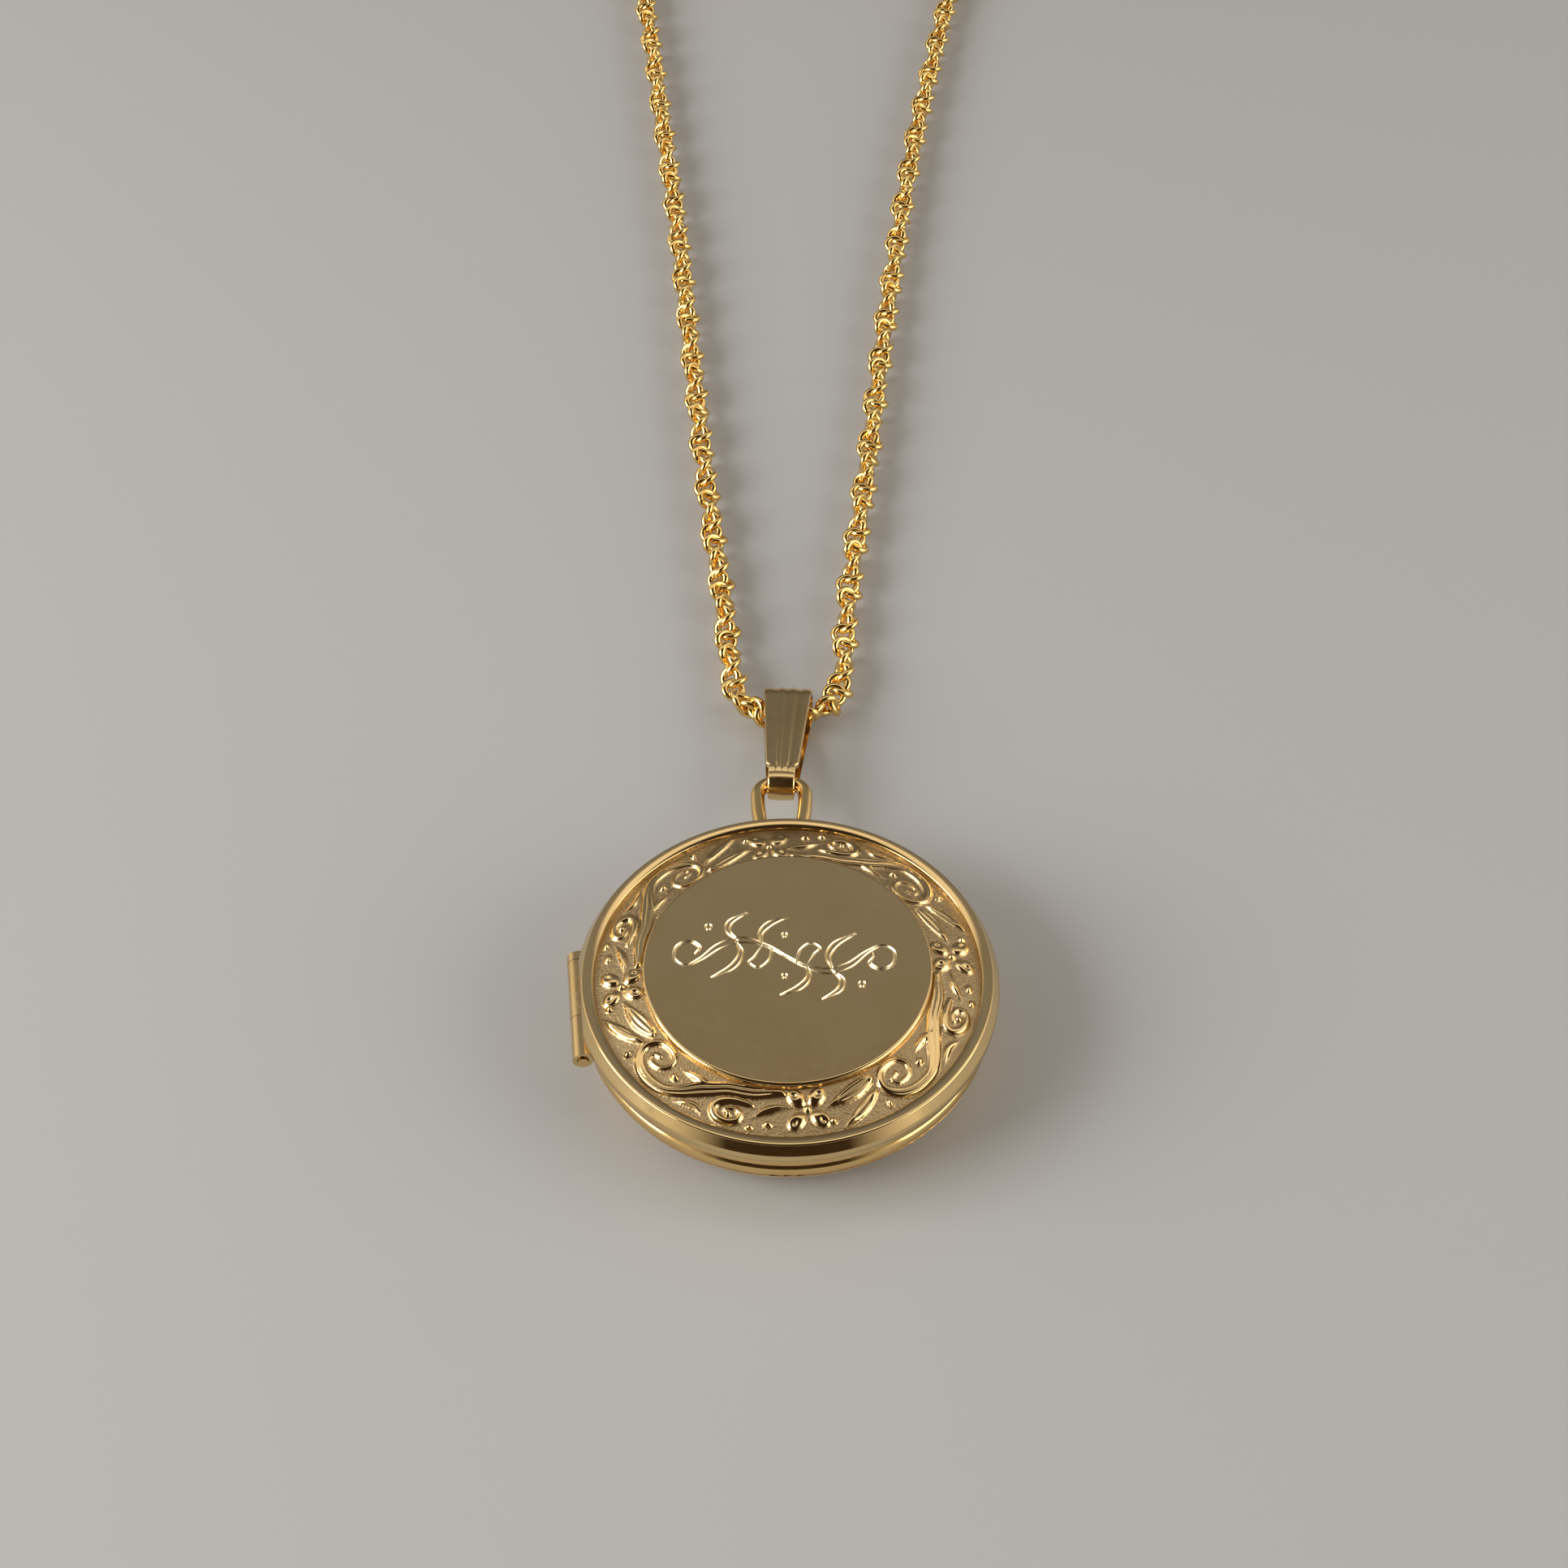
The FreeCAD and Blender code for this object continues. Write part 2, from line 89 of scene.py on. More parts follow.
# Links of the rope chain, in millimetres
LINK_R = 0.52
LINK_WIRE_R = 0.2
LINK_PITCH = 0.58
LINK_TILT = 26.0        # degrees, to one side and the other in turn
LINK_SHIFT = 0.14       # sideways, so that each link threads the next
HALF_TWIST = 4.25       # length of chain in which the links turn half round
LINK_LOOK = 0.0003      # metres of line before and after a link that give its direction
LINK_WOBBLE = 0.15      # radians, how much the twist comes and goes
WOBBLE_PACE = 1.7
LEAN_SPREAD = 0.12      # radians, drawn at random for each link
LINK_STEPS = 20
LINK_SIDES = 7

# Locket case, in millimetres
FACE_Z = 5.0
PLATE_R = 6.84
GROUND_IN = 7.02
GROUND_OUT = 9.3
GROUND_IN_Z = 4.66
GROUND_OUT_Z = 4.1
BEAD_R = 10.25
BEAD_SLOPE = 1.62       # fall of the bevel outside the bead's crest
SEAM_Z = 3.35
FLAT_X = 9.55           # flat behind the hinge
INNER_GAP = 0.06        # how far the hidden underside stays inside that flat
BEAD_FLAT_X = 10.0      # flat on the bead over the hinge
HINGE_TURN = 6.0
PATTERN_TURN = 7.5      # where the first flower of the border stands
COLUMNS = 1480          # steps round the front cover
GROUND_ROWS = 62
RELIEF = 0.21           # height of the scrollwork over the ground
STIPPLE = 0.016
STIPPLED_BELOW = 0.12   # share of the relief's height under which the ground is stippled
SHADED_GOLD_BELOW = 0.3      # share of the relief's height under which a face has the ground's darker gold, which is painted shade in the low ground between the scrolls
GROUND_FADE = 0.1       # width over which the relief dies out at both edges of the border
STROKE_STEPS = 24       # curve points between two points of a stroke
THINNEST_HALF = 0.015
END_REACH = 0.08        # how far a stroke goes on past its last point
ROUND_BELOW = 0.13      # half width under which a stroke is plainly round
ROUND_BLEND = 0.12      # further half width over which its own section takes over
FULL_HALF = 0.18        # half width from which a stroke has its full height
LOWEST_SHARE = 0.3      # share of the full height that the thinnest stroke keeps

# Bail, in millimetres
LOOP_X = -0.3
LOOP_BAR_Y = 14.3
LOOP_Z = 2.23
FOLD_Y = 20.35
FOLD_Z = 1.37
EYE_R = 0.62
FOLD_R = 1.05
BAIL_T = 0.22
BAIL_LEAN = 3.0
BAIL_TOP_HALF = 1.36
BAIL_LEAF_HALF = 0.86
BAIL_NECK_HALF = 0.7
BAIL_NECK_UP = 0.56
BAIL_FLARE = 0.12
FLUTES = (-0.48, 0.0, 0.48)
FLUTE_DEPTH = 0.06
FLUTE_HALF = 0.22
SHOULDER = 0.09         # step from the eye up to the leaf
SHOULDER_UP = 0.14      # where that step starts, above the loop's bar
SHOULDER_RISE = 0.14    # length of the step
FLUTE_START = 0.06      # where the flutes start, above the foot of the step
FLUTE_RUN_IN = 0.1
BAIL_CROWN = 0.05
BAIL_ROUNDING = 0.04
SEAM_UP = 0.95          # where the strip's ends meet at the back, above the loop's bar

# Clasp spring, in millimetres
CLASP_AT = (-0.3, 124.0, 1.2)
CLASP_R = 2.2
SPRING_R = 0.25
SPRING_WIRE_R = 0.055
SPRING_TURNS = 34
SPRING_ARC = (168.0, 320.0)
SPRING_STEPS = 10       # steps per turn
SPRING_SIDES = 6

# Materials
NOISE_LOW = 0.3         # the part of a noise texture's output that is in use
NOISE_HIGH = 0.7
CLOUD_SCALE = 350
MARKS_SCALE = 2600
BUMP_DEPTH = 0.00002    # metres
PAPER_TONES = ((0.86, 0.84, 0.78), (0.78, 0.76, 0.7))
# The film is this faint to play down a wedge of tone that shows on the photos when the case is open. The
# film and the photo under it share a face.
FILM_ALPHA = 0.05

# Table top, in metres
TABLE_HALF = 1.5
TABLE_DROP = 0.00001    # keeps it off the parts that rest on it

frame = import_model()
nodes = frame["nodes"]
random.seed(7)
grain = np.random.default_rng(7)


# ---------------------------------------------------------------- materials

def new_material(name, colour, metallic, roughness):
    """Material with one Principled shader; returns it with its node tree and shader."""
    material = bpy.data.materials.new(name)
    material.use_nodes = True
    tree = material.node_tree
    shader = tree.nodes["Principled BSDF"]
    shader.inputs["Base Color"].default_value = (*colour, 1)
    shader.inputs["Metallic"].default_value = metallic
    shader.inputs["Roughness"].default_value = roughness
    return material, tree, shader


def map_range(tree, source, low, high, to_low=0.0, to_high=1.0):
    """Maps an input range to an output range and returns the result."""
    node = tree.nodes.new("ShaderNodeMapRange")
    node.inputs["From Min"].default_value = low
    node.inputs["From Max"].default_value = high
    node.inputs["To Min"].default_value = to_low
    node.inputs["To Max"].default_value = to_high
    tree.links.new(source, node.inputs["Value"])
    return node.outputs["Result"]


def noise(tree, coordinates, scale, detail):
    """Noise texture in object space."""
    texture = tree.nodes.new("ShaderNodeTexNoise")
    texture.inputs["Scale"].default_value = scale
    texture.inputs["Detail"].default_value = detail
    tree.links.new(coordinates.outputs["Object"], texture.inputs["Vector"])
    return texture


def spread(tree, texture, low, high):
    """Maps the used part of a noise texture to a range."""
    return map_range(tree, texture.outputs["Fac"], NOISE_LOW, NOISE_HIGH, low, high)


def mixed(tree, share, first, second):
    """Colour that goes from the first to the second as the share goes from 0 to 1."""
    mix = tree.nodes.new("ShaderNodeMix")
    mix.data_type = "RGBA"
    mix.inputs["A"].default_value = (*first, 1)
    mix.inputs["B"].default_value = (*second, 1)
    tree.links.new(share, mix.inputs["Factor"])
    return mix.outputs["Result"]


def gold(name, colour, deep, rough_low, rough_high, wear, bump=0.0):
    """Gold with uneven tone, fine handling marks in its roughness and an optional fine bump."""
    material, tree, shader = new_material(name, colour, 1.0, rough_low)
    coordinates = tree.nodes.new("ShaderNodeTexCoord")
    cloud = noise(tree, coordinates, CLOUD_SCALE, 3)
    marks = noise(tree, coordinates, MARKS_SCALE, 5)
    tone = mixed(tree, spread(tree, cloud, 0.0, wear), colour, deep)
    tree.links.new(tone, shader.inputs["Base Color"])
    tree.links.new(spread(tree, marks, rough_low, rough_high), shader.inputs["Roughness"])
    if bump:
        dents = tree.nodes.new("ShaderNodeBump")
        dents.inputs["Strength"].default_value = bump
        dents.inputs["Distance"].default_value = BUMP_DEPTH
        tree.links.new(marks.outputs["Fac"], dents.inputs["Height"])
        tree.links.new(dents.outputs["Normal"], shader.inputs["Normal"])
    return material


def clear_film():
    """Thin clear plastic with faint wipe marks."""
    material, tree, shader = new_material("clear_film", (0.95, 0.97, 0.97), 0.0, 0.04)
    shader.inputs["Alpha"].default_value = FILM_ALPHA
    coordinates = tree.nodes.new("ShaderNodeTexCoord")
    marks = noise(tree, coordinates, 900, 3)
    tree.links.new(spread(tree, marks, 0.03, 0.1), shader.inputs["Roughness"])
    return material


def photo_paper():
    """Blank matte photo paper with a soft tooth."""
    material, tree, shader = new_material("photo_paper", PAPER_TONES[0], 0.0, 0.55)
    coordinates = tree.nodes.new("ShaderNodeTexCoord")
    tooth = noise(tree, coordinates, 1500, 4)
    tone = mixed(tree, spread(tree, tooth, 0.0, 1.0), *PAPER_TONES)
    tree.links.new(tone, shader.inputs["Base Color"])
    return material


CASE = gold("gold_case", (0.80, 0.585, 0.29), (0.72, 0.50, 0.22), 0.07, 0.13, 0.5)
# The ground's gold is darker than the case's: painted shade in the low, stippled ground between the scrolls.
# Its higher roughness and bump are the real matte stipple.
GROUND_SHADED_GOLD = gold("gold_ground_painted_shade", (0.62, 0.47, 0.26), (0.47, 0.33, 0.17), 0.36, 0.5, 0.8, 0.6)
# The cuts' gold is paler and brighter than the case's: a painted highlight of the engraved lines catching the
# light. Their higher roughness is the real cut finish.
ENGRAVED_HIGHLIT_GOLD = gold("gold_engraved_painted_highlight", (0.95, 0.80, 0.52), (0.90, 0.70, 0.42), 0.2, 0.34, 0.5)
TRIM = gold("gold_trim", (0.82, 0.58, 0.25), (0.70, 0.45, 0.17), 0.09, 0.16, 0.5)
BAIL_GOLD = gold("gold_bail", (0.78, 0.57, 0.28), (0.68, 0.47, 0.2), 0.14, 0.22, 0.5)
CHAIN_GOLD = gold("gold_chain", (0.97, 0.70, 0.27), (0.88, 0.55, 0.16), 0.12, 0.2, 0.6)
INNER = gold("gold_inner", (0.80, 0.62, 0.33), (0.68, 0.50, 0.25), 0.2, 0.3, 0.5, 0.3)
STEEL = gold("spring_steel", (0.62, 0.62, 0.64), (0.5, 0.5, 0.52), 0.2, 0.3, 0.5)
FILM = clear_film()
PAPER = photo_paper()


# ------------------------------------------------------------------ helpers

def smooth_path(points, steps):
    """Catmull-Rom curve through the points, with that many steps between neighbours."""
    spots = np.array(points, float)
    padded = np.vstack([2 * spots[0] - spots[1], spots, 2 * spots[-1] - spots[-2]])
    path = []
    for i in range(len(spots) - 1):
        a, b, c, d = padded[i:i + 4]
        for t in np.linspace(0, 1, steps, endpoint=False):
            path.append(0.5 * (2 * b + (c - a) * t + (2 * a - 5 * b + 4 * c - d) * t ** 2
                               + (3 * b - a - 3 * c + d) * t ** 3))
    path.append(spots[-1])
    return np.array(path)


def mesh_object(name, points, faces, materials, body, sharp=40.0):
    """Smooth-shaded mesh from points in millimetres that rides on a CAD body."""
    mesh = bpy.data.meshes.new(name)
    mesh.from_pydata([tuple(p) for p in np.asarray(points) * MM], [], faces)
    for material in materials:
        mesh.materials.append(material)
    mesh.shade_smooth()
    mesh.set_sharp_from_angle(angle=math.radians(sharp))
    made = bpy.data.objects.new(name, mesh)
    bpy.context.scene.collection.objects.link(made)
    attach(made, body)
    return made


def grid_faces(rows, columns, first=0, closed_rows=False):
    """Quads of a grid whose columns close on themselves."""
    faces = []
    last = rows if closed_rows else rows - 1
    for i in range(last):
        here, there = first + i * columns, first + (i + 1) % rows * columns
        for j in range(columns):
            k = (j + 1) % columns
            faces.append((here + j, here + k, there + k, there + j))
    return faces


def arc_points(a, b, c, count):
    """Points on the circle through three (r, z) points, from the first to the last."""
    (ax, ay), (bx, by), (cx, cy) = a, b, c
    d = 2 * (ax * (by - cy) + bx * (cy - ay) + cx * (ay - by))
    sa, sb, sc = ax ** 2 + ay ** 2, bx ** 2 + by ** 2, cx ** 2 + cy ** 2
    ox = (sa * (by - cy) + sb * (cy - ay) + sc * (ay - by)) / d
    oy = (sa * (cx - bx) + sb * (ax - cx) + sc * (bx - ax)) / d
    radius = math.hypot(ax - ox, ay - oy)
    start, middle, end = (math.atan2(y - oy, x - ox) for x, y in (a, b, c))
    turn = (end - start) % (2 * math.pi)
    if (middle - start) % (2 * math.pi) > turn:
        turn -= 2 * math.pi
    angles = [start + turn * i / (count - 1) for i in range(count)]
    return [(ox + radius * math.cos(t), oy + radius * math.sin(t)) for t in angles]


# ---------------------------------------------------- border of the front cover
# Each stroke is a list of (degrees clockwise from the flower, radius, half width).

SCROLLS = (
    ((8.0, 7.4, 0.05), (10.9, 7.2, 0.2), (20.0, 7.33, 0.33), (29.0, 7.44, 0.33), (34.0, 7.7, 0.36),
     (38.0, 7.95, 0.4), (43.5, 8.5, 0.3), (48.5, 8.87, 0.25), (55.0, 8.93, 0.26), (60.0, 8.72, 0.25),
     (63.3, 8.3, 0.22), (64.0, 7.8, 0.18), (61.5, 7.35, 0.15), (57.0, 7.22, 0.13), (53.0, 7.4, 0.12),
     (52.0, 7.85, 0.11), (54.5, 8.2, 0.11), (58.5, 8.25, 0.1), (59.8, 7.95, 0.09), (57.3, 7.8, 0.1)),
    ((65.0, 7.45, 0.05), (67.4, 7.43, 0.24), (73.0, 7.62, 0.4), (78.2, 7.8, 0.3), (84.0, 8.0, 0.05)),
    ((65.5, 7.95, 0.05), (69.0, 8.2, 0.2), (72.6, 8.5, 0.26), (77.0, 8.85, 0.2), (80.6, 9.15, 0.03)),
)
RIBBONS = (
    ((19.5, 7.95, 0.1), (22.0, 7.9, 0.15), (26.5, 7.92, 0.18), (30.3, 8.14, 0.2), (31.4, 8.5, 0.2),
     (29.3, 8.86, 0.19), (25.8, 8.94, 0.17), (22.9, 8.74, 0.15), (22.6, 8.42, 0.13), (25.0, 8.26, 0.12),
     (27.6, 8.38, 0.1)),
)
LANCES = (
    ((7.6, 7.85, 0.05), (11.0, 7.92, 0.15), (14.6, 8.1, 0.18), (18.7, 8.5, 0.02)),
    ((33.0, 7.8, 0.04), (38.0, 7.6, 0.16), (43.0, 7.55, 0.14), (47.0, 7.6, 0.02)),
    ((33.5, 8.95, 0.03), (37.0, 8.75, 0.14), (40.5, 8.85, 0.12), (43.5, 9.05, 0.02)),
)
# Each dome is (degrees clockwise from the flower, radius, radial half length, half width).
DOMES = (
    (0.9, 8.02, 0.16, 0.16), (26.2, 8.58, 0.16, 0.16), (48.0, 8.1, 0.15, 0.2), (13.5, 8.75, 0.14, 0.22),
    (18.8, 8.98, 0.12, 0.18), (65.2, 8.85, 0.22, 0.11), (83.5, 8.75, 0.16, 0.16),
)
# Each petal is (degrees, radius, half length, half width) and points at the flower's centre.
PETALS = ((-2.7, 7.5, 0.5, 0.37), (4.5, 7.48, 0.5, 0.37), (-2.8, 8.54, 0.5, 0.37), (4.7, 8.56, 0.5, 0.37))
FLOWER_AT = (0.9, 8.02)


def on_border(turn, radius):
    """Place of a (degrees clockwise from the first flower, radius) pair."""
    angle = math.radians(PATTERN_TURN - turn)
    return np.array([radius * math.cos(angle), radius * math.sin(angle)])


def stroke_heights(spots, stroke, turned, section):
    """Height field of one stroke whose cross-section is given over -1 to 1."""
    placed = [(*on_border(turn + turned, radius), half) for turn, radius, half in stroke]
    path = smooth_path(placed, STROKE_STEPS)
    way = np.gradient(path[:, :2], axis=0)
    way /= np.linalg.norm(way, axis=1)[:, None]
    gaps = spots[:, None, :] - path[None, :, :2]
    nearest = (gaps ** 2).sum(2).argmin(1)
    gap = gaps[np.arange(len(spots)), nearest]
    way, half = way[nearest], np.maximum(path[nearest, 2], THINNEST_HALF)
    across = (way[:, 0] * gap[:, 1] - way[:, 1] * gap[:, 0]) / half
    past_end = np.abs(way[:, 0] * gap[:, 0] + way[:, 1] * gap[:, 1]) > END_REACH
    inside = (np.abs(across) < 1) & ~past_end
    heights = np.zeros(len(spots))
    across, half = across[inside], half[inside]
    wide = np.clip((half - ROUND_BELOW) / ROUND_BLEND, 0, 1)
    profile = wide * section(across) + (1 - wide) * np.sqrt(1 - across ** 2)
    heights[inside] = profile * np.clip(half / FULL_HALF, LOWEST_SHARE, 1.0)
    return heights


def ribbon_section(q):
    """Rounded ribbon with a shallow channel along it."""
    return np.sqrt(1 - q ** 4) * (0.8 + 0.3 * q ** 2)


def fluted_section(q):
    """Three crisp ridges with hollows between them."""
    return (1 - q ** 6) * (1 - 0.42 * np.abs(np.sin(1.5 * math.pi * q)))


def lance_section(q):
    """Rounded blade, steeper on one side."""
    return np.sqrt(1 - q ** 2) * (0.85 + 0.15 * q)


def dome_heights(spots, dome, turned, centre=None):
    """Height field of a dome or petal; a petal is dimpled and points at the flower's centre."""
    turn, radius, long, wide = dome
    at = on_border(turn + turned, radius)
    aim = at if centre is None else at - on_border(centre[0] + turned, centre[1])
    aim = aim / np.linalg.norm(aim)
    gap = spots - at
    u = gap @ aim / long
    v = (gap[:, 1] * aim[0] - gap[:, 0] * aim[1]) / wide
    height = np.sqrt(np.clip(1 - u ** 2 - v ** 2, 0, 1))
    if centre is not None:
        height *= 1 - 0.6 * np.exp(-((u - 0.3) ** 2 + v ** 2) / 0.1)
    return height


def softened(height):
    """Relief worn smooth; the quarter joins its own copies at both ends."""
    for _ in range(2):
        height = (np.roll(height, 1, 1) + 2 * height + np.roll(height, -1, 1)) / 4
        padded = np.pad(height, ((1, 1), (0, 0)), mode="edge")
        height = (padded[:-2] + 2 * height + padded[2:]) / 4
    return height


def quarter_relief(radii, angles):
    """Height of the scrollwork at every (radius, angle) of a quarter of the border."""
    r, t = np.meshgrid(radii, angles, indexing="ij")
    spots = np.stack([(r * np.cos(t)).ravel(), (r * np.sin(t)).ravel()], axis=1)
    height = np.zeros(len(spots))
    sections = ((SCROLLS, fluted_section), (RIBBONS, ribbon_section), (LANCES, lance_section))
    for turned in (-90, 0, 90):
        for strokes, section in sections:
            for stroke in strokes:
                height = np.maximum(height, stroke_heights(spots, stroke, turned, section))
        for dome in DOMES:
            height = np.maximum(height, dome_heights(spots, dome, turned))
        for petal in PETALS:
            height = np.maximum(height, dome_heights(spots, petal, turned, FLOWER_AT))
    return softened(height.reshape(r.shape))


# ------------------------------------------------------- flourish on the plate
# Each pen stroke is a list of (x, y, width); every one is repeated half a turn round.

FLOURISH_AT = (-0.15, 0.6)
PEN_STROKES = (
    ((0.0, 0.0, 0.07), (-0.9, 0.6, 0.15), (-2.0, 0.95, 0.3), (-3.1, 0.6, 0.3), (-4.0, -0.2, 0.16),
     (-4.75, -0.6, 0.07), (-5.3, -0.2, 0.05), (-5.2, 0.55, 0.07), (-4.6, 0.85, 0.12), (-4.1, 0.5, 0.09),
     (-4.3, 0.1, 0.02)),
    ((-1.1, 0.7, 0.02), (-1.15, 1.35, 0.2), (-0.7, 1.95, 0.28), (0.2, 2.4, 0.02)),
    ((-2.3, 0.95, 0.02), (-2.75, 1.5, 0.2), (-2.6, 2.1, 0.24), (-1.8, 2.65, 0.02)),
    ((-2.3, 0.8, 0.02), (-2.1, 0.1, 0.2), (-2.5, -0.7, 0.28), (-3.5, -1.35, 0.02)),
    ((-0.6, 0.4, 0.03), (-0.75, -0.3, 0.04), (-1.25, -0.75, 0.05), (-1.7, -0.45, 0.05), (-1.45, -0.1, 0.03)),
)
PEN_DOTS = ((-3.7, 1.75, 0.14), (0.0, 1.25, 0.11))
CUT_HALF = 0.06
CUT_DEPTH = 0.06


def pen_cuts():
    """Centre lines of the engraved cuts: both edges of every pen stroke, and rings for the dots."""
    cuts = []
    for way_round in (1, -1):
        for stroke in PEN_STROKES:
            path = smooth_path(stroke, 16)
            line = path[:, :2] * way_round + FLOURISH_AT
            way = np.gradient(line, axis=0)
            way /= np.linalg.norm(way, axis=1)[:, None]
            across = np.stack([-way[:, 1], way[:, 0]], axis=1) * path[:, 2:] / 2
            cuts += [line + across, line - across]
        for x, y, radius in PEN_DOTS:
            angles = np.linspace(0, 2 * math.pi, 25)
            ring = np.stack([np.cos(angles), 1.3 * np.sin(angles)], axis=1) * radius
            cuts.append(ring + np.array([x, y]) * way_round + FLOURISH_AT)
    return cuts


def cut_depth(spots, cuts):
    """Depth of the V cuts at each point of the plate."""
    marks = np.concatenate([smooth_path(cut, 3) for cut in cuts])
    depth = np.zeros(len(spots))
    for start in range(0, len(spots), 2000):
        part = spots[start:start + 2000]
        near = np.sqrt(((part[:, None, :] - marks[None]) ** 2).sum(2).min(1))
        depth[start:start + 2000] = CUT_DEPTH * np.clip(1 - near / CUT_HALF, 0, 1)
    return depth


def plate_mesh(rim):
    """Triangles of the plate's top inside its rim, with the cuts; returns points and faces."""
    cuts = pen_cuts()
    spots = [tuple(p) for p in rim]
    edges = [(i, (i + 1) % len(rim)) for i in range(len(rim))]
    for cut in cuts:
        way = np.gradient(cut, axis=0)
        way /= np.maximum(np.linalg.norm(way, axis=1)[:, None], 1e-9)
        across = np.stack([-way[:, 1], way[:, 0]], axis=1) * CUT_HALF
        for line in (cut, cut + across, cut - across):
            first = len(spots)
            spots += [tuple(p) for p in line]
            edges += [(first + i, first + i + 1) for i in range(len(line) - 1)]
    places = [Vector(p) for p in spots]
    flat, _, faces, *_ = delaunay_2d_cdt(places, edges, [], 0, 1e-5)
    flat = np.array([tuple(p) for p in flat])
    depth = cut_depth(flat, cuts)
    points = np.column_stack([flat, FACE_Z - depth])
    return points, [tuple(f) for f in faces], depth


# ------------------------------------------------------------------ front cover

def profile_rows():
    """(r, z, kind) of every row from the plate's edge out and back under the cover."""
    rows = [(r, z, "plate") for r, z in (
        (PLATE_R, FACE_Z), (6.885, 4.993), (6.93, 4.972), (6.965, 4.93), (6.985, 4.87), (7.0, 4.78))]
    fall = (GROUND_OUT_Z - GROUND_IN_Z) / (GROUND_OUT - GROUND_IN)
    for r in np.linspace(GROUND_IN, GROUND_OUT, GROUND_ROWS):
        rows.append((r, GROUND_IN_Z + fall * (r - GROUND_IN), "ground"))
    rows += [(9.33, 4.16, "bead"), (9.355, 4.25, "bead"), (9.375, 4.33, "bead")]
    rows += [(r, z, "bead") for r, z in arc_points((9.39, 4.355), (9.6, 4.43), (9.87, 4.445), 14)]
    rows += [(r, z, "bead") for r, z in arc_points((9.895, 4.435), (9.918, 4.42), (9.933, 4.395), 6)]
    rows += [(r, 4.395 - (r - 9.933) * BEAD_SLOPE, "bead") for r in (9.937, 9.95, 10.0, 10.1, 10.19, 10.21)]
    rows += [(r, z, "bead") for r, z in arc_points((10.222, 3.92), (10.243, 3.85), (BEAD_R, 3.72), 7)]
    rows += [(10.24, 3.56, "bead"), (10.16, 3.46, "bead"), (10.04, 3.39, "bead"), (9.93, SEAM_Z, "bead")]
    rows += [(9.7, SEAM_Z, "inner"), (9.7, 3.95, "inner"), (9.58, 4.12, "inner"), (9.42, 3.95, "inner"),
             (9.2, 3.8, "inner"), (6.95, 4.34, "inner"), (6.75, 4.7, "inner")]
    return rows


def behind_hinge(points, limit):
    """Points beyond the flat behind the hinge are brought back onto it."""
    turn = math.radians(HINGE_TURN)
    outward = np.array([-math.cos(turn), -math.sin(turn)])
    excess = np.clip(points[:, :2] @ outward - limit, 0, None)
    moved = points.copy()
    moved[:, :2] -= excess[:, None] * outward
    return moved


def ground_relief(radii, angles):
    """Height of the scrollwork and the stipple over each row of the ground."""
    relief = np.tile(quarter_relief(radii, angles[:COLUMNS // 4]), (1, 4))
    rough = grain.uniform(-STIPPLE, STIPPLE, relief.shape) * (relief < STIPPLED_BELOW)
    fade_in = np.clip((radii - GROUND_IN) / GROUND_FADE, 0, 1)
    fade_out = np.clip((GROUND_OUT - radii) / GROUND_FADE, 0, 1)
    return (RELIEF * relief + rough) * (fade_in * fade_out)[:, None]


def cover_rings(rows, angles, relief):
    """Points of each row of the profile, carried round the cover."""
    rings = []
    heights = iter(relief)
    for r, z, kind in rows:
        ring = np.column_stack([r * np.cos(angles), r * np.sin(angles), np.full(COLUMNS, z)])
        if kind == "ground":
            ring[:, 2] += next(heights)
        rings.append(behind_hinge(ring, FLAT_X - INNER_GAP if kind == "inner" else BEAD_FLAT_X))
    return rings


def front_cover():
    """Stamped cover with relief border, rounded bead and engraved plate, as one closed mesh."""
    rows = profile_rows()
    angles = np.arange(COLUMNS) * 2 * math.pi / COLUMNS
    relief = ground_relief(np.array([r for r, _, kind in rows if kind == "ground"]), angles)
    rim = np.stack([PLATE_R * np.cos(angles), PLATE_R * np.sin(angles)], axis=1)
    top, faces, depth = plate_mesh(rim)
    rings = cover_rings(rows[1:], angles, relief)
    points = np.concatenate([top] + rings)
    rim_points = [int(np.argmin(((top[:, :2] - p) ** 2).sum(1))) for p in rim]
    first = len(top)
    plate_faces = len(faces)
    # Faces in the cuts take the paler gold, a painted highlight along the engraved lines.
    slots = [1 if max(depth[list(f)]) > 1e-4 else 0 for f in faces]
    for j in range(COLUMNS):
        k = (j + 1) % COLUMNS
        faces.append((rim_points[j], first + j, first + k, rim_points[k]))
        slots.append(0)
    kinds = [kind for _, _, kind in rows[1:]]
    first_ground = kinds.index("ground")
    for i in range(len(rings) - 1):
        here, there = first + i * COLUMNS, first + (i + 1) * COLUMNS
        for j in range(COLUMNS):
            k = (j + 1) % COLUMNS
            faces.append((here + j, there + j, there + k, here + k))
            # Low ground faces take the darker gold, painted shade between the raised scrolls.
            plain = kinds[i] != "ground" or relief[i - first_ground, j] > SHADED_GOLD_BELOW * RELIEF
            slots.append(0 if plain else 2)
    last = first + (len(rings) - 1) * COLUMNS
    faces.append(tuple(last + j for j in range(COLUMNS)))
    slots.append(0)
    cover = mesh_object("front_cover_relief", points, faces, [CASE, ENGRAVED_HIGHLIT_GOLD, GROUND_SHADED_GOLD],
                        "front", 50)
    cover.data.polygons.foreach_set("material_index", slots)
    cover.data.polygons.foreach_set("use_smooth", [i >= plate_faces for i in range(len(faces))])
    cover.data.update()
    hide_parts("front_cover")


# ------------------------------------------------------------------------- bail

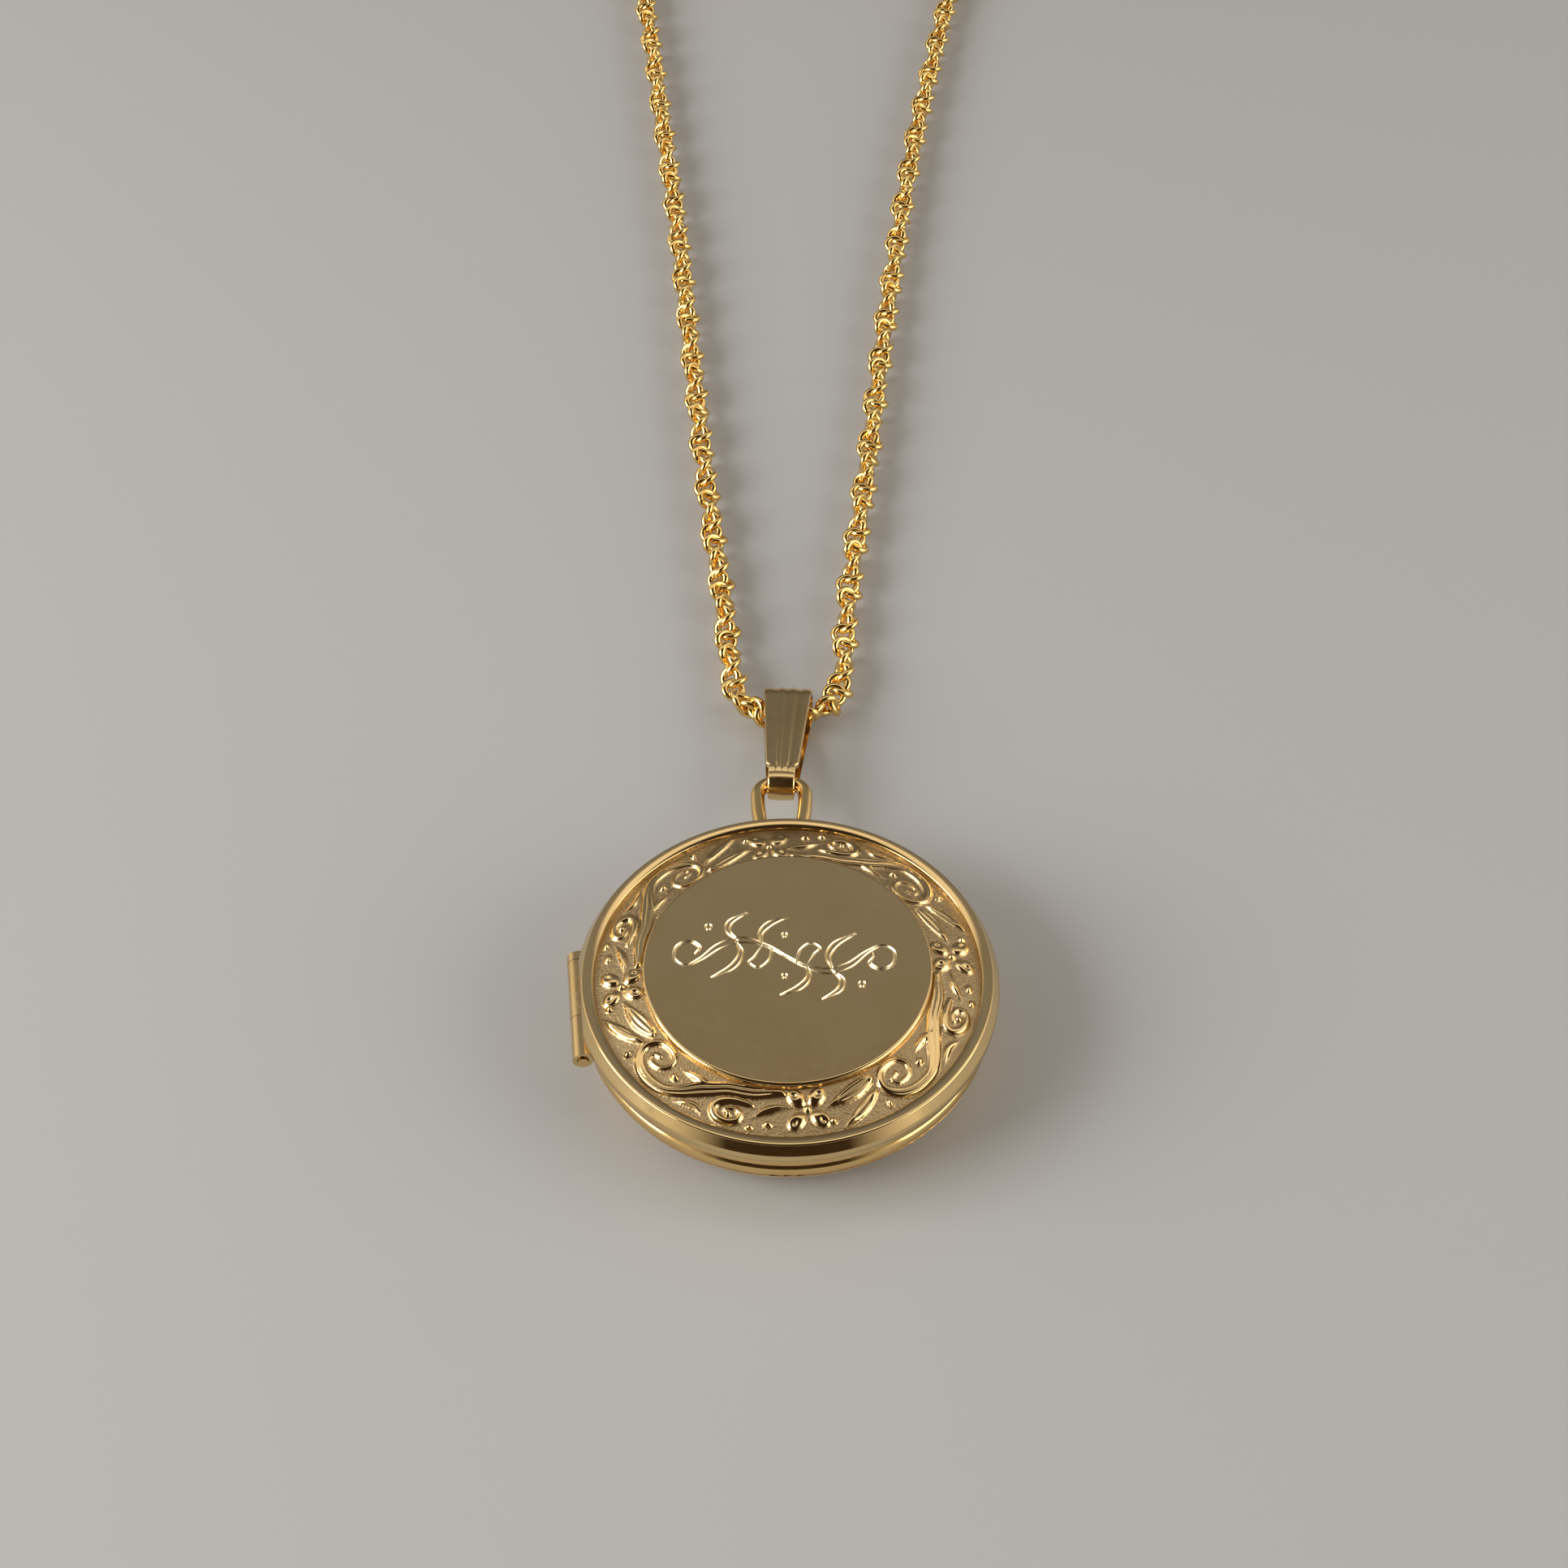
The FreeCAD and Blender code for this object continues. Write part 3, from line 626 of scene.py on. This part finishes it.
def bail_line():
    """(y, z, outward y, outward z) along the strip's inner face, from the back seam round to it."""
    dy, dz = FOLD_Y - LOOP_BAR_Y, FOLD_Z - LOOP_Z
    span = math.hypot(dy, dz)
    lean = math.atan2(dz, dy)
    open_by = math.acos((EYE_R - FOLD_R) / span)
    up, down = lean + open_by, lean - open_by

    def round_circle(y, z, radius, start, end, count):
        return [(y + radius * math.cos(t), z + radius * math.sin(t), math.cos(t), math.sin(t))
                for t in np.linspace(start, end, count)]

    eye = round_circle(LOOP_BAR_Y, LOOP_Z, EYE_R, down + 2 * math.pi, up, 26)
    fold = round_circle(FOLD_Y, FOLD_Z, FOLD_R, up, down, 30)

    def straight(a, b, count):
        return [tuple(a[i] + (b[i] - a[i]) * t for i in range(4)) for t in np.linspace(0, 1, count)[1:-1]]

    back = straight(fold[-1], eye[0], 50)
    seam = min(range(len(back)), key=lambda i: abs(back[i][0] - (LOOP_BAR_Y + SEAM_UP)))
    return back[seam + 1:] + eye + straight(eye[-1], fold[0], 60) + fold + back[:seam + 1]


def bail():
    """Fluted strip folded over the chain and closed round the loop."""
    across = np.linspace(-1, 1, 45)
    flutes = sum(0.5 + 0.5 * np.cos(math.pi * np.clip((across - f) / FLUTE_HALF, -1, 1)) for f in FLUTES)
    crown = BAIL_CROWN * (1 - across ** 2)
    rounding = BAIL_ROUNDING * np.clip((np.abs(across) - 0.9) / 0.1, 0, 1) ** 2
    neck_y = LOOP_BAR_Y + BAIL_NECK_UP
    plan_y = (neck_y, neck_y + BAIL_FLARE, FOLD_Y + FOLD_R + BAIL_T)
    plan_half = (BAIL_NECK_HALF, BAIL_LEAF_HALF, BAIL_TOP_HALF)
    points = []
    line = bail_line()
    lean = math.radians(-BAIL_LEAN)
    for y, z, out_y, out_z in line:
        half = np.interp(y, plan_y, plan_half)
        past_eye = y - LOOP_BAR_Y - SHOULDER_UP
        deep = FLUTE_DEPTH * min(max((past_eye - FLUTE_START) / FLUTE_RUN_IN, 0), 1)
        shoulder = SHOULDER * max(out_z, 0) * min(max(past_eye / SHOULDER_RISE, 0), 1)
        outer = BAIL_T + shoulder + crown - rounding - deep * flutes
        top = [(x * half, y + out_y * t, z + out_z * t) for x, t in zip(across, outer)]
        bottom = [(x * half, y, z) for x in reversed(across)]
        points += top + bottom
    points = np.array(points)
    x, y = points[:, 0].copy(), points[:, 1] - LOOP_BAR_Y
    points[:, 0] = LOOP_X + x * math.cos(lean) - y * math.sin(lean)
    points[:, 1] = LOOP_BAR_Y + x * math.sin(lean) + y * math.cos(lean)
    columns = 2 * len(across)
    faces = grid_faces(len(line), columns)
    faces.append(tuple(range(columns)))
    faces.append(tuple(reversed(range((len(line) - 1) * columns, len(line) * columns))))
    strip = mesh_object("bail_fluted", points, faces, [BAIL_GOLD], "bail", 35)
    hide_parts("bail")


# ------------------------------------------------------------------------ chain

def route(strand, entry, side, tail):
    """Route points of one half of the chain, with the coil's turns worked out."""
    points = list(strand)
    rise = (COIL_TOP_Z - COIL_LOW_Z) / (COIL_TURNS * COIL_STEPS)
    centre_x = entry[0] + side * COIL_R
    out = COIL_R / math.cos(math.pi / COIL_STEPS)
    for i in range(COIL_TURNS * COIL_STEPS + 1):
        turn = 2 * math.pi * i / COIL_STEPS
        points.append((centre_x - side * out * math.cos(turn), entry[1] + out * math.sin(turn),
                       COIL_LOW_Z + rise * i))
    return points + list(tail)


def centreline(name, points):
    """Points along the NURBS curve that has the route points as its control points."""
    curve = bpy.data.curves.new(name, "CURVE")
    curve.dimensions = "3D"
    curve.resolution_u = 10
    spline = curve.splines.new("NURBS")
    spline.points.add(len(points) - 1)
    for spot, place in zip(spline.points, points):
        spot.co = (*place, 1)
    spline.order_u = 3
    spline.use_endpoint_u = True
    holder = bpy.data.objects.new(name, curve)
    bpy.context.scene.collection.objects.link(holder)
    bpy.context.view_layer.update()
    mesh = bpy.data.meshes.new_from_object(holder)
    line = np.array([tuple(v.co) for v in mesh.vertices])
    bpy.data.objects.remove(holder)
    bpy.data.meshes.remove(mesh)
    return line


def half_chain(name, line, first):
    """Small round links threaded through each other along a line, turning as they go."""
    steps = np.linalg.norm(np.diff(line, axis=0), axis=1)
    along = np.concatenate([[0], np.cumsum(steps)])
    count = int((along[-1] - first * MM) / (LINK_PITCH * MM))
    points, faces = [], []
    for i in range(count + 1):
        s = (first + i * LINK_PITCH) * MM
        at = np.array([np.interp(s, along, line[:, k]) for k in range(3)])
        ahead = np.array([np.interp(s + LINK_LOOK, along, line[:, k]) for k in range(3)])
        behind = np.array([np.interp(s - LINK_LOOK, along, line[:, k]) for k in range(3)])
        way = Vector(ahead - behind).normalized()
        level = way.cross(Vector((0, 0, 1))).normalized()
        rise = level.cross(way)
        twist = math.pi * s / (HALF_TWIST * MM) + LINK_WOBBLE * math.sin(i * WOBBLE_PACE)
        wide = level * math.cos(twist) + rise * math.sin(twist)
        third = way.cross(wide)
        tilt = LINK_TILT if i % 2 else -LINK_TILT
        lean = math.radians(tilt) + random.uniform(-LEAN_SPREAD, LEAN_SPREAD)
        long = way * math.cos(lean) + third * math.sin(lean)
        normal = wide.cross(long)
        middle = Vector(at) / MM + wide * (LINK_SHIFT if i % 2 else -LINK_SHIFT)
        for a in range(LINK_STEPS):
            turn = 2 * math.pi * a / LINK_STEPS
            out = long * math.cos(turn) + wide * math.sin(turn)
            for b in range(LINK_SIDES):
                tube = 2 * math.pi * b / LINK_SIDES
                offset = out * (LINK_R + LINK_WIRE_R * math.cos(tube)) + normal * LINK_WIRE_R * math.sin(tube)
                points.append(middle + offset)
        faces += grid_faces(LINK_STEPS, LINK_SIDES, i * LINK_STEPS * LINK_SIDES, closed_rows=True)
    return mesh_object(name, np.array(points), faces, [CHAIN_GOLD], "chain", 80)


def chains():
    """Both halves of the chain, as threaded links from the bail to the clasp."""
    left_line = centreline("route_left", route(STRAND_LEFT, COIL_ENTRY_LEFT, 1, TAIL_LEFT))
    right_line = centreline("route_right", route(STRAND_RIGHT, COIL_ENTRY_RIGHT, -1, TAIL_RIGHT))
    left = half_chain("chain_links_left", left_line, 0.0)
    right = half_chain("chain_links_right", right_line, LINK_PITCH)
    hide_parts("chain_left", "chain_coil_left", "chain_tail_left")
    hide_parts("chain_right", "chain_coil_right", "chain_tail_right")
    return (left, left_line), (right, right_line)


# ------------------------------------------------------------------------ clasp

def clasp_spring():
    """Wound wire spring behind the bolt, bent round inside the clasp."""
    start, end = (math.radians(a) for a in SPRING_ARC)
    steps = SPRING_TURNS * SPRING_STEPS
    points = []
    centre = Vector(CLASP_AT)
    for i in range(steps + 1):
        share = i / steps
        angle = start + (end - start) * share
        out = Vector((math.cos(angle), math.sin(angle), 0))
        way = Vector((-math.sin(angle), math.cos(angle), 0))
        wind = 2 * math.pi * SPRING_TURNS * share
        spoke = out * math.cos(wind) + Vector((0, 0, 1)) * math.sin(wind)
        for b in range(SPRING_SIDES):
            tube = 2 * math.pi * b / SPRING_SIDES
            points.append(centre + out * CLASP_R + spoke * (SPRING_R + SPRING_WIRE_R * math.cos(tube))
                          + way * SPRING_WIRE_R * math.sin(tube))
    faces = grid_faces(steps + 1, SPRING_SIDES)
    faces.append(tuple(reversed(range(SPRING_SIDES))))
    faces.append(tuple(range(steps * SPRING_SIDES, (steps + 1) * SPRING_SIDES)))
    spring = mesh_object("clasp_spring_wound", np.array(points), faces, [STEEL],
                         "chain", 80)
    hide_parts("clasp_spring")
    return spring


# ------------------------------------------------------- carried-over CAD nodes

NODE_LOOKS = {
    "front_rim": (TRIM, "gold_case"), "back_rim": (TRIM, "gold_case"), "back_cover": (CASE, "gold_case"),
    "hinge_knuckle_lower": (CASE, "gold_trim"), "hinge_knuckle_middle": (BAIL_GOLD, "gold_trim"),
    "hinge_knuckle_upper": (CASE, "gold_trim"), "hinge_pin": (TRIM, "gold_trim"),
    "top_loop": (TRIM, "gold_trim"),
    "back_photo": (PAPER, "photo_paper"), "front_photo": (PAPER, "photo_paper"),
    "back_window": (FILM, "clear_plastic"), "front_window": (FILM, "clear_plastic"),
    "back_photo_frame": (INNER, "gold_inner"), "front_photo_frame": (INNER, "gold_inner"),
    "end_ring_left": (CHAIN_GOLD, "gold_chain"), "end_ring_right": (CHAIN_GOLD, "gold_chain"),
    "clasp_ring": (TRIM, "gold_clasp"), "clasp_eye": (TRIM, "gold_clasp"),
    "clasp_tab": (TRIM, "gold_clasp"), "clasp_bolt": (TRIM, "gold_clasp"),
}
BEVELS = {
    "hinge_knuckle_lower": 0.04, "hinge_knuckle_middle": 0.04, "hinge_knuckle_upper": 0.04,
    "back_photo_frame": 0.04, "front_photo_frame": 0.04, "clasp_tab": 0.06, "clasp_bolt": 0.04,
    "front_rim": 0.02, "back_rim": 0.02,
}


def dress_nodes():
    """Finish of every CAD node that shows as it is."""
    for name, (material, slot_name) in NODE_LOOKS.items():
        node = nodes[name]
        node.data.materials.clear()
        node.data.materials.append(material)
        if name in BEVELS:
            bevel = node.modifiers.new("edge", "BEVEL")
            bevel.width = BEVELS[name] * MM
            bevel.segments = 2
            bevel.limit_method = "ANGLE"
            bevel.angle_limit = math.radians(40)
            bevel.harden_normals = True


# ---------------------------------------------------------------- camera, light

def camera():
    """The photo's view."""
    lens = bpy.data.cameras.new("camera")
    lens.lens = CAMERA_LENS
    lens.sensor_width = 36
    lens.clip_start = 0.005
    lens.clip_end = 5
    eye = bpy.data.objects.new("camera", lens)
    eye.location = CAMERA_AT
    eye.rotation_euler = (math.radians(CAMERA_PITCH), 0, 0)
    bpy.context.scene.collection.objects.link(eye)
    bpy.context.scene.camera = eye


def area_light(name, at, target, width, height, power, colour):
    """Soft rectangular light aimed at a point."""
    lamp = bpy.data.lights.new(name, "AREA")
    lamp.shape = "RECTANGLE"
    lamp.size = width
    lamp.size_y = height
    lamp.energy = power
    lamp.color = colour
    holder = bpy.data.objects.new(name, lamp)
    holder.location = at
    aim = Vector(target) - Vector(at)
    holder.rotation_euler = aim.to_track_quat("-Z", "Y").to_euler()
    bpy.context.scene.collection.objects.link(holder)


# Brightness of the room by how far a direction points along +Y: (Y, colour)
ROOM = (
    (-0.9, (0.045, 0.027, 0.016)), (0.1, (0.032, 0.022, 0.015)),
    (0.24, (1.1, 1.02, 0.9)), (0.44, (1.1, 1.02, 0.9)), (0.55, (0.24, 0.23, 0.22)),
    (0.66, (0.265, 0.267, 0.285)), (0.85, (0.16, 0.155, 0.15)), (0.98, (0.12, 0.115, 0.11)),
)
SIDE_TONE = (0.9, 0.82, 0.68)
SIDE_FROM, SIDE_FULL = 0.45, 0.85   # how far along X a direction points where that tone starts and is full


def world():
    """Soft room: dark behind the viewer, a bright band past the zenith, mid tone beyond, pale sides."""
    room = bpy.data.worlds.new("room")
    bpy.context.scene.world = room
    room.use_nodes = True
    tree = room.node_tree
    background = tree.nodes["Background"]
    place = tree.nodes.new("ShaderNodeTexCoord")
    split = tree.nodes.new("ShaderNodeSeparateXYZ")
    tree.links.new(place.outputs["Generated"], split.inputs["Vector"])
    ramp = tree.nodes.new("ShaderNodeValToRGB")
    stops = ramp.color_ramp.elements
    while len(stops) < len(ROOM):
        stops.new(0.5)
    for stop, (reach, colour) in zip(stops, ROOM):
        stop.position = (reach + 1) / 2
        stop.color = (*colour, 1)
    tree.links.new(map_range(tree, split.outputs["Y"], -1, 1), ramp.inputs["Fac"])
    aside = tree.nodes.new("ShaderNodeMath")
    aside.operation = "ABSOLUTE"
    tree.links.new(split.outputs["X"], aside.inputs[0])
    mix = tree.nodes.new("ShaderNodeMix")
    mix.data_type = "RGBA"
    mix.inputs["B"].default_value = (*SIDE_TONE, 1)
    tree.links.new(map_range(tree, aside.outputs["Value"], SIDE_FROM, SIDE_FULL), mix.inputs["Factor"])
    tree.links.new(ramp.outputs["Color"], mix.inputs["A"])
    tree.links.new(mix.outputs["Result"], background.inputs["Color"])


def lights():
    """Window light from the left and a weaker, creamier wall on the right."""
    area_light("window", (-0.3, -0.06, 0.16), (0, 0.01, 0), 0.24, 0.2, 1.0, (1.0, 0.97, 0.92))
    area_light("side_wall", (0.34, -0.08, 0.15), (0, 0.01, 0), 0.32, 0.26, 0.6, (1.0, 0.95, 0.85))


def floor():
    """Pale matte table top."""
    material = new_material("table_top", (0.49, 0.5, 0.52), 0.0, 0.85)[0]
    mesh = bpy.data.meshes.new("table_top")
    corners = [(x * TABLE_HALF, y * TABLE_HALF, 0) for x, y in ((-1, -1), (1, -1), (1, 1), (-1, 1))]
    mesh.from_pydata(corners, [], [(0, 1, 2, 3)])
    mesh.materials.append(material)
    table = bpy.data.objects.new("table_top", mesh)
    table.location.z = -TABLE_DROP
    bpy.context.scene.collection.objects.link(table)


camera()
(left, left_line), (right, right_line) = chains()
spring = clasp_spring()
dress_nodes()
front_cover()
bail()
world()
lights()
floor()
bpy.context.scene.view_settings.view_transform = "Standard"
